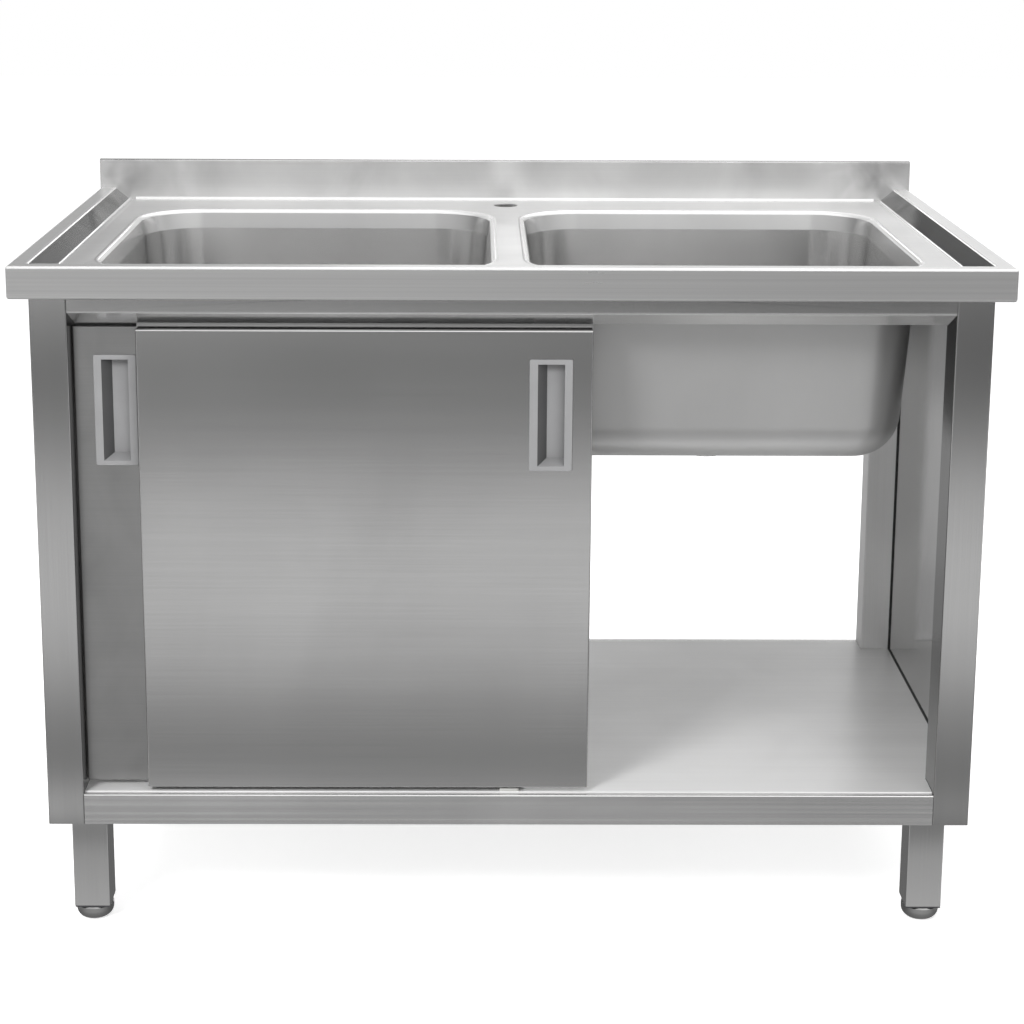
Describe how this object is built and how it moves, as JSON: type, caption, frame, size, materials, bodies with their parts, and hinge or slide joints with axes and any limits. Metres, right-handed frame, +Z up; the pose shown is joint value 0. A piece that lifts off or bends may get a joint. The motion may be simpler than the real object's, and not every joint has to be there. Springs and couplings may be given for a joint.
{
  "type": "free-standing kitchen sink unit",
  "caption": "Stainless sink unit: worktop with upstand and deep bowls over a cupboard with sliding doors, shelf and levelling feet.",
  "frame": {"origin": "on the floor, under the middle of the worktop", "axes": "+X across the front to the right, +Y from the front to the wall, +Z up"},
  "size_m": [1.2, 0.7, 0.892],
  "materials": {
    "brushed_steel": "brushed stainless sheet, fine straight grain",
    "polished_steel": "polished stainless",
    "foot_steel": "smooth stainless cup",
    "zinc_steel": "zinc plated",
    "handle_plastic": "moulded, satin grey",
    "white_nylon": "moulded nylon",
    "dark_plastic": "moulded, black",
    "black_rubber": "matt"
  },
  "bodies": {
    "cabinet": {"bottom_front_rail": "brushed_steel", "bottom_rear_rail": "brushed_steel", "bottom_shelf": "brushed_steel", "bowl_left": "brushed_steel", "bowl_right": "brushed_steel", "door_guide": "white_nylon", "door_track": "brushed_steel", "front_post_left": "brushed_steel", "front_post_right": "brushed_steel", "leg_front_left": "brushed_steel", "leg_front_right": "brushed_steel", "leg_gussets": "brushed_steel", "leg_insert_front_left": "dark_plastic", "leg_insert_front_right": "dark_plastic", "leg_insert_rear_left": "dark_plastic", "leg_insert_rear_right": "dark_plastic", "leg_rear_left": "brushed_steel", "leg_rear_right": "brushed_steel", "middle_channel": "brushed_steel", "rear_post_left": "brushed_steel", "rear_post_right": "brushed_steel", "shelf_stiffener_left": "brushed_steel", "shelf_stiffener_right": "brushed_steel", "side_panel_left": "brushed_steel", "side_panel_right": "brushed_steel", "side_rail_left": "brushed_steel", "side_rail_right": "brushed_steel", "splashback": "brushed_steel", "tap_hole_plate": "brushed_steel", "top_front_rail": "brushed_steel", "top_rear_rail": "brushed_steel", "track_screws": "zinc_steel", "track_stops": "black_rubber", "waste_body_left": "polished_steel", "waste_body_right": "polished_steel", "waste_gasket_left": "black_rubber", "waste_gasket_right": "black_rubber", "waste_nut_left": "dark_plastic", "waste_nut_right": "dark_plastic", "worktop": "brushed_steel"},
    "door_front": {"front_door_outer": "brushed_steel", "front_door_inner": "brushed_steel", "front_door_handle": "handle_plastic", "front_door_bolts": "zinc_steel", "front_door_hanger_left": "zinc_steel", "front_door_hanger_right": "zinc_steel"},
    "wheel_front_left": {"front_door_wheel_left": "white_nylon"},
    "wheel_front_right": {"front_door_wheel_right": "white_nylon"},
    "door_rear": {"rear_door_outer": "brushed_steel", "rear_door_inner": "brushed_steel", "rear_door_handle": "handle_plastic", "rear_door_bolts": "zinc_steel", "rear_door_hanger_left": "zinc_steel", "rear_door_hanger_right": "zinc_steel"},
    "wheel_rear_left": {"rear_door_wheel_left": "white_nylon"},
    "wheel_rear_right": {"rear_door_wheel_right": "white_nylon"},
    "levelling_foot_front_left": {"foot_front_left": "foot_steel"},
    "levelling_foot_front_right": {"foot_front_right": "foot_steel"},
    "levelling_foot_rear_left": {"foot_rear_left": "foot_steel"},
    "levelling_foot_rear_right": {"foot_rear_right": "foot_steel"}
  },
  "joints": [
    {"name": "front_door_slide", "type": "slide", "parent": "cabinet", "child": "door_front", "axis": [1, 0, 0], "range_m": [-0.079, 0.433]},
    {"name": "front_left_wheel_spin", "type": "hinge", "parent": "door_front", "child": "wheel_front_left", "pos_m": [-0.392, -0.30675, 0.7993], "axis": [0, 1, 0], "continuous": true},
    {"name": "front_right_wheel_spin", "type": "hinge", "parent": "door_front", "child": "wheel_front_right", "pos_m": [0.038, -0.30675, 0.7993], "axis": [0, 1, 0], "continuous": true},
    {"name": "rear_door_slide", "type": "slide", "parent": "cabinet", "child": "door_rear", "axis": [1, 0, 0], "range_m": [0, 0.512]},
    {"name": "rear_left_wheel_spin", "type": "hinge", "parent": "door_rear", "child": "wheel_rear_left", "pos_m": [-0.471, -0.28475, 0.7993], "axis": [0, 1, 0], "continuous": true},
    {"name": "rear_right_wheel_spin", "type": "hinge", "parent": "door_rear", "child": "wheel_rear_right", "pos_m": [-0.041, -0.28475, 0.7993], "axis": [0, 1, 0], "continuous": true},
    {"name": "foot_front_left_level", "type": "slide", "parent": "cabinet", "child": "levelling_foot_front_left", "axis": [0, 0, -1], "range_m": [0, 0.025]},
    {"name": "foot_front_right_level", "type": "slide", "parent": "cabinet", "child": "levelling_foot_front_right", "axis": [0, 0, -1], "range_m": [0, 0.025]},
    {"name": "foot_rear_left_level", "type": "slide", "parent": "cabinet", "child": "levelling_foot_rear_left", "axis": [0, 0, -1], "range_m": [0, 0.025]},
    {"name": "foot_rear_right_level", "type": "slide", "parent": "cabinet", "child": "levelling_foot_rear_right", "axis": [0, 0, -1], "range_m": [0, 0.025]}
  ],
  "couplings": [
    {"joint": "front_left_wheel_spin", "follows": "front_door_slide", "rad_per_m": 111.11},
    {"joint": "front_right_wheel_spin", "follows": "front_door_slide", "rad_per_m": 111.11},
    {"joint": "rear_left_wheel_spin", "follows": "rear_door_slide", "rad_per_m": 111.11},
    {"joint": "rear_right_wheel_spin", "follows": "rear_door_slide", "rad_per_m": 111.11}
  ]
}
